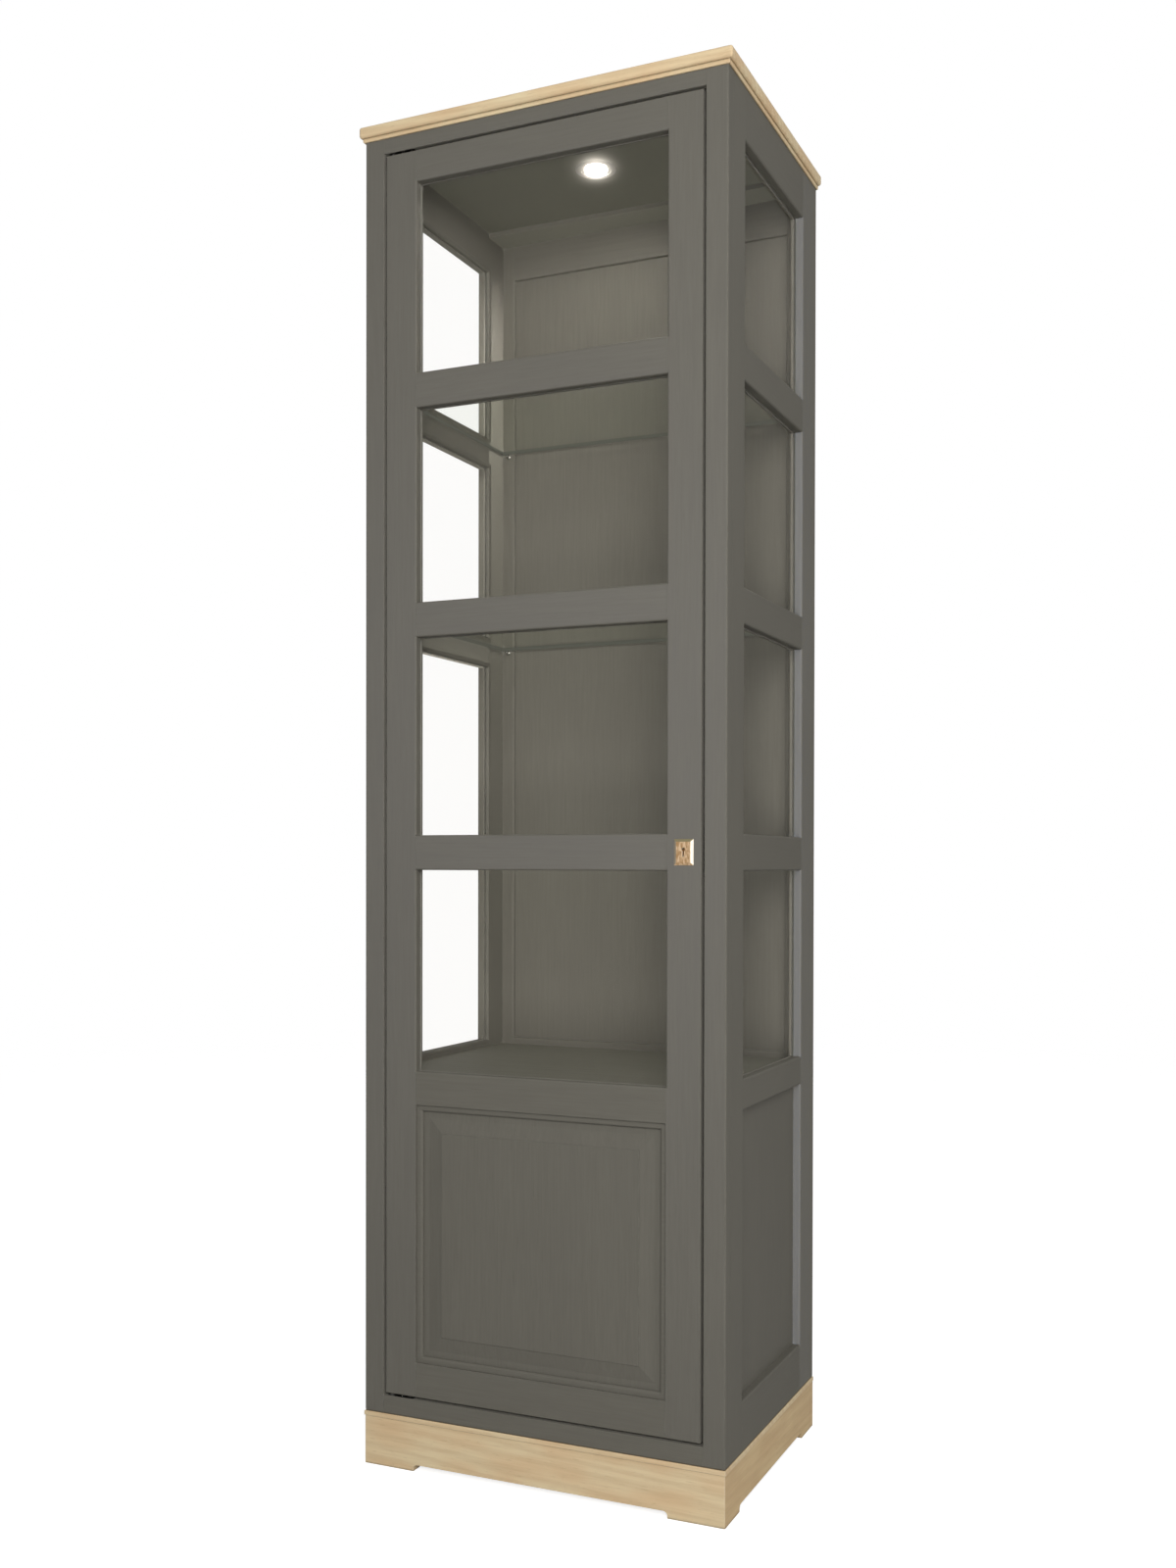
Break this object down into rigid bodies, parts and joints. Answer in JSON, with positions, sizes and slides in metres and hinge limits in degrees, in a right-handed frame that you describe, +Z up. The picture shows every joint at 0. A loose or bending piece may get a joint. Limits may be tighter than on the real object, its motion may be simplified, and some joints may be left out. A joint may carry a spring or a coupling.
{
  "type": "display cabinet",
  "caption": "Tall narrow display cabinet with a glazed lockable door, glazed sides, glass shelves, a panelled lower part, and an oak top and plinth.",
  "frame": {"origin": "on the floor, at the middle of the outline that the top board covers", "axes": "+Z up, -Y out of the front towards the viewer, +X to the right seen from the front"},
  "size_m": [0.616, 0.458, 2.1],
  "materials": {
    "painted_wood": "taupe-grey paint, brushed on so that the wood's grain shows faintly, satin",
    "oak": "pale oak, oiled matt",
    "softwood": "bare softwood",
    "glass": "clear float glass",
    "escutcheon_metal": "pale polished metal",
    "lock_steel": "zinc-plated steel",
    "dark_metal": "dark drum",
    "bright_metal": "bright nickel plate",
    "lamp_white": "white",
    "lamp_diffuser": "opal, lit",
    "driver_plastic": "white moulded box",
    "grommet_rubber": "black rubber"
  },
  "bodies": {
    "cabinet": {"back_panel_lower": "painted_wood", "back_panel_upper": "painted_wood", "back_rails": "painted_wood", "back_stiles": "painted_wood", "base_board": "painted_wood", "cabinet_screws": "bright_metal", "cable_grommet": "grommet_rubber", "ceiling_panel": "painted_wood", "ceiling_rear_rail": "painted_wood", "door_stop": "painted_wood", "face_rail_bottom": "painted_wood", "face_rail_top": "painted_wood", "face_stile_left": "painted_wood", "face_stile_right": "painted_wood", "hinge_frame_leaves": "lock_steel", "lamp_bezel": "lamp_white", "lamp_driver": "driver_plastic", "lamp_housing": "bright_metal", "lamp_lens": "lamp_diffuser", "left_side_front_stile": "painted_wood", "left_side_panel": "painted_wood", "left_side_panes": "glass", "left_side_rails": "painted_wood", "left_side_rear_stile": "painted_wood", "plinth_back": "oak", "plinth_corner_blocks": "softwood", "plinth_front": "oak", "plinth_moulding": "oak", "plinth_sides": "oak", "right_side_front_stile": "painted_wood", "right_side_panel": "painted_wood", "right_side_panes": "glass", "right_side_rails": "painted_wood", "right_side_rear_stile": "painted_wood", "shelf_lower": "glass", "shelf_middle": "glass", "shelf_supports": "bright_metal", "shelf_upper": "glass", "side_beads": "painted_wood", "strike_plate": "lock_steel", "top_board": "oak", "top_underboard": "oak", "vitrine_floor": "painted_wood"},
    "door": {"door_beads": "painted_wood", "door_glazing_rails": "painted_wood", "door_lock_rail": "painted_wood", "door_panel": "painted_wood", "door_panel_moulding": "painted_wood", "door_panes": "glass", "door_rail_bottom": "painted_wood", "door_rail_top": "painted_wood", "door_screws": "bright_metal", "door_stile_left": "painted_wood", "door_stile_right": "painted_wood", "escutcheon": "escutcheon_metal", "hinge_door_leaves": "lock_steel", "lock_case": "lock_steel", "lock_cover": "lock_steel"},
    "key_drum": {"key_drum": "dark_metal"},
    "lock_bolt": {"lock_bolt": "lock_steel"}
  },
  "joints": [
    {"name": "door_hinge", "type": "hinge", "parent": "cabinet", "child": "door", "pos_m": [-0.254, -0.213, 0.116], "axis": [0, 0, -1], "range_deg": [0, 105]},
    {"name": "key_turn", "type": "hinge", "parent": "door", "child": "key_drum", "pos_m": [0.235, -0.221, 0.964], "axis": [0, 1, 0], "range_deg": [0, 90]},
    {"name": "bolt_slide", "type": "slide", "parent": "door", "child": "lock_bolt", "axis": [1, 0, 0], "range_m": [0, 0.01004]}
  ],
  "couplings": [
    {"joint": "key_turn", "follows": "bolt_slide", "rad_per_m": 156.44}
  ]
}
